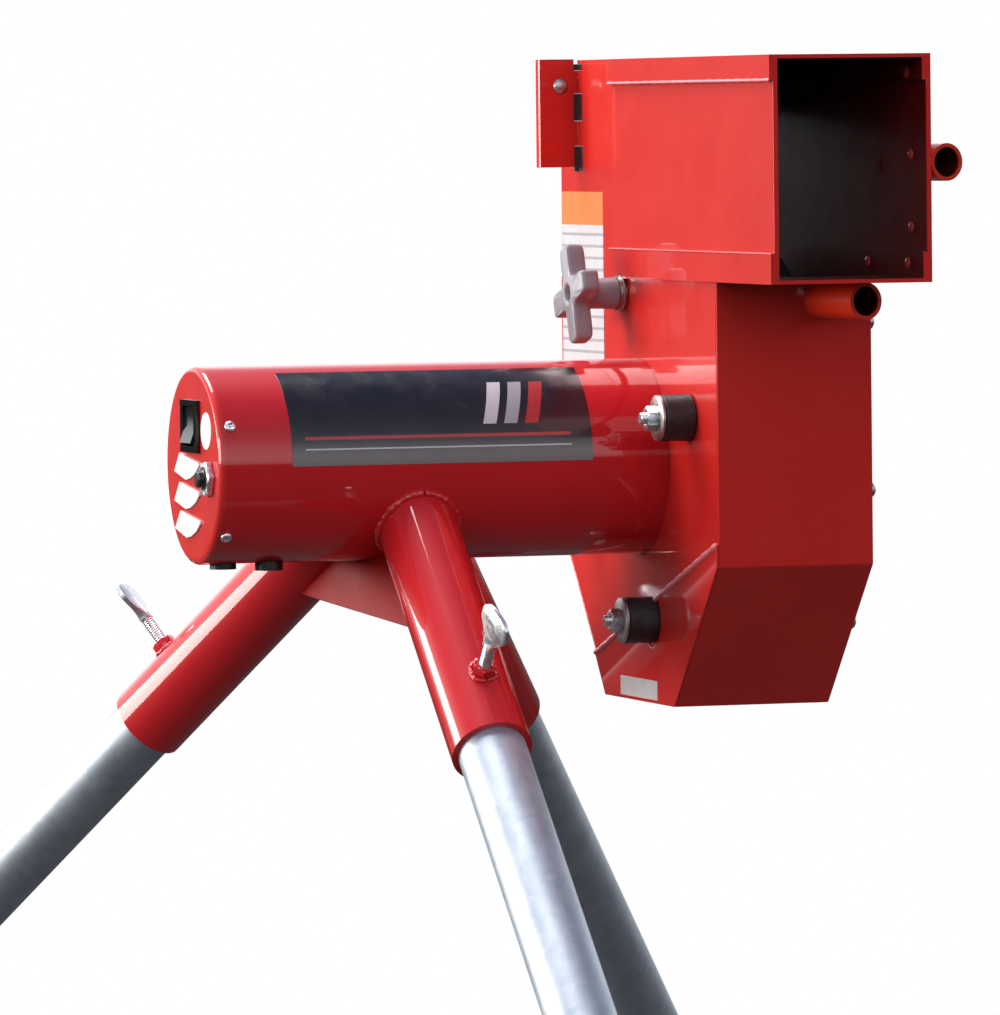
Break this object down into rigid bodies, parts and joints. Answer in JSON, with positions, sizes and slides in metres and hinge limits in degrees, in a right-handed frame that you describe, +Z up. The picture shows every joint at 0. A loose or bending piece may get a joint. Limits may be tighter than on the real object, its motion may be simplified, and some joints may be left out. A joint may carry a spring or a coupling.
{
  "type": "pitching machine",
  "caption": "Single-wheel ball pitching machine: motor tube on three slanted legs, with a tilting square ball channel over a guarded spinning wheel.",
  "frame": {"origin": "on the floor, at the centre of the footprint of the whole machine", "axes": "+X along the motor tube towards the ball channel, -Y the way the ball leaves, +Z up"},
  "size_m": [1.1464, 1.6052, 0.9738],
  "materials": {
    "red_paint": "glossy red enamel",
    "cap_paint": "glossy orange-red enamel",
    "head_paint": "glossy orange-red enamel, scuffed",
    "sleeve_paint": "orange enamel",
    "ring_steel": "zinc plated",
    "galvanised": "galvanised pipe",
    "foot_rubber": "matt black",
    "pad_rubber": "dense rubber",
    "tyre_rubber": "worn rubber",
    "cast_aluminium": "cast",
    "black_plastic": "satin black",
    "knob_plastic": "grey",
    "nut_metal": "plated",
    "white_label": "white vinyl",
    "dark_label": "dark printed vinyl",
    "motor_steel": "dark steel",
    "shaft_steel": "ground",
    "armature_metal": "laminations and varnished copper",
    "board_green": "circuit board"
  },
  "bodies": {
    "frame": {"motor_tube": "red_paint", "tube_end_flange": "red_paint", "end_cap": "cap_paint", "end_cap_screws": "ring_steel", "switch_housing": "black_plastic", "breaker_body": "black_plastic", "breaker_nut": "nut_metal", "cap_labels": "white_label", "tube_decal": "dark_label", "cable_gland": "black_plastic", "hole_plug": "foot_rubber", "motor_can": "motor_steel", "field_magnets": "motor_steel", "front_end_bell": "cast_aluminium", "rear_end_bell": "cast_aluminium", "motor_bearings": "shaft_steel", "brush_holders": "black_plastic", "speed_control_board": "board_green", "leg_socket_left": "red_paint", "leg_socket_front": "red_paint", "leg_socket_right": "red_paint", "clamp_nuts": "red_paint", "gusset_left": "red_paint", "gusset_right": "red_paint"},
    "rotor": {"drive_shaft": "shaft_steel", "armature": "armature_metal", "cooling_fan": "black_plastic", "wheel_tyre": "tyre_rubber", "wheel_hub": "cast_aluminium", "wheel_nut": "ring_steel"},
    "head": {"left_side_plate": "head_paint", "right_side_plate": "head_paint", "slot_inserts": "foot_rubber", "channel_lid": "head_paint", "channel_floor": "head_paint", "wheel_guard": "head_paint", "corner_panel": "head_paint", "compression_pad": "pad_rubber", "pad_backing": "head_paint", "clamp_ring": "ring_steel", "clamp_studs": "ring_steel", "rubber_bumpers": "foot_rubber", "bumper_washers": "ring_steel", "bumper_nuts": "ring_steel", "knob_washer": "ring_steel", "accessory_sleeves": "sleeve_paint", "panel_bolts": "ring_steel", "plate_labels": "white_label"},
    "star_knob": {"star_knob": "knob_plastic"},
    "switch_rocker": {"switch_rocker": "black_plastic"},
    "breaker_button": {"breaker_button": "black_plastic"},
    "leg_left": {"leg_pipe_left": "galvanised", "leg_foot_left": "foot_rubber"},
    "thumb_screw_left": {"thumb_screw_left": "ring_steel"},
    "leg_front": {"leg_pipe_front": "galvanised", "leg_foot_front": "foot_rubber"},
    "thumb_screw_front": {"thumb_screw_front": "ring_steel"},
    "leg_right": {"leg_pipe_right": "galvanised", "leg_foot_right": "foot_rubber"},
    "thumb_screw_right": {"thumb_screw_right": "ring_steel"}
  },
  "joints": [
    {"name": "head_pivot", "type": "hinge", "parent": "frame", "child": "head", "pos_m": [0.1342, 0.09702, 0.7666], "axis": [1, 0, 0], "range_deg": [-40, 25]},
    {"name": "wheel_spin", "type": "hinge", "parent": "frame", "child": "rotor", "pos_m": [0.1342, 0.09702, 0.7666], "axis": [1, 0, 0], "continuous": true},
    {"name": "star_knob_turn", "type": "hinge", "parent": "head", "child": "star_knob", "pos_m": [0.1142, 0.11935, 0.85094], "axis": [-1, 0, 0], "range_deg": [0, 360]},
    {"name": "switch_tip", "type": "hinge", "parent": "frame", "child": "switch_rocker", "pos_m": [-0.1061, 0.09652, 0.7871], "axis": [0, 1, 0], "range_deg": [-20, 0]},
    {"name": "breaker_press", "type": "slide", "parent": "frame", "child": "breaker_button", "axis": [1, 0, 0], "range_m": [0, 0.0025], "stiffness_N_per_m": 200, "springref_m": -0.002},
    {"name": "leg_left_slide", "type": "slide", "parent": "frame", "child": "leg_left", "axis": [-0.4742, 0.5856, -0.6574], "range_m": [0, 0.12]},
    {"name": "thumb_screw_left_turn", "type": "hinge", "parent": "frame", "child": "thumb_screw_left", "pos_m": [-0.08094, 0.20068, 0.65024], "axis": [-0.4137, 0.5109, 0.7536], "range_deg": [0, 360]},
    {"name": "leg_front_slide", "type": "slide", "parent": "frame", "child": "leg_front", "axis": [0, -0.7536, -0.6574], "range_m": [0, 0.12]},
    {"name": "thumb_screw_front_turn", "type": "hinge", "parent": "frame", "child": "thumb_screw_front", "pos_m": [0.002, -0.03636, 0.65024], "axis": [0, -0.6574, 0.7536], "range_deg": [0, 360]},
    {"name": "leg_right_slide", "type": "slide", "parent": "frame", "child": "leg_right", "axis": [0.4742, 0.5856, -0.6574], "range_m": [0, 0.12]},
    {"name": "thumb_screw_right_turn", "type": "hinge", "parent": "frame", "child": "thumb_screw_right", "pos_m": [0.08094, 0.20068, 0.65024], "axis": [-0.1069, 0.7794, 0.6173], "range_deg": [0, 360]}
  ]
}
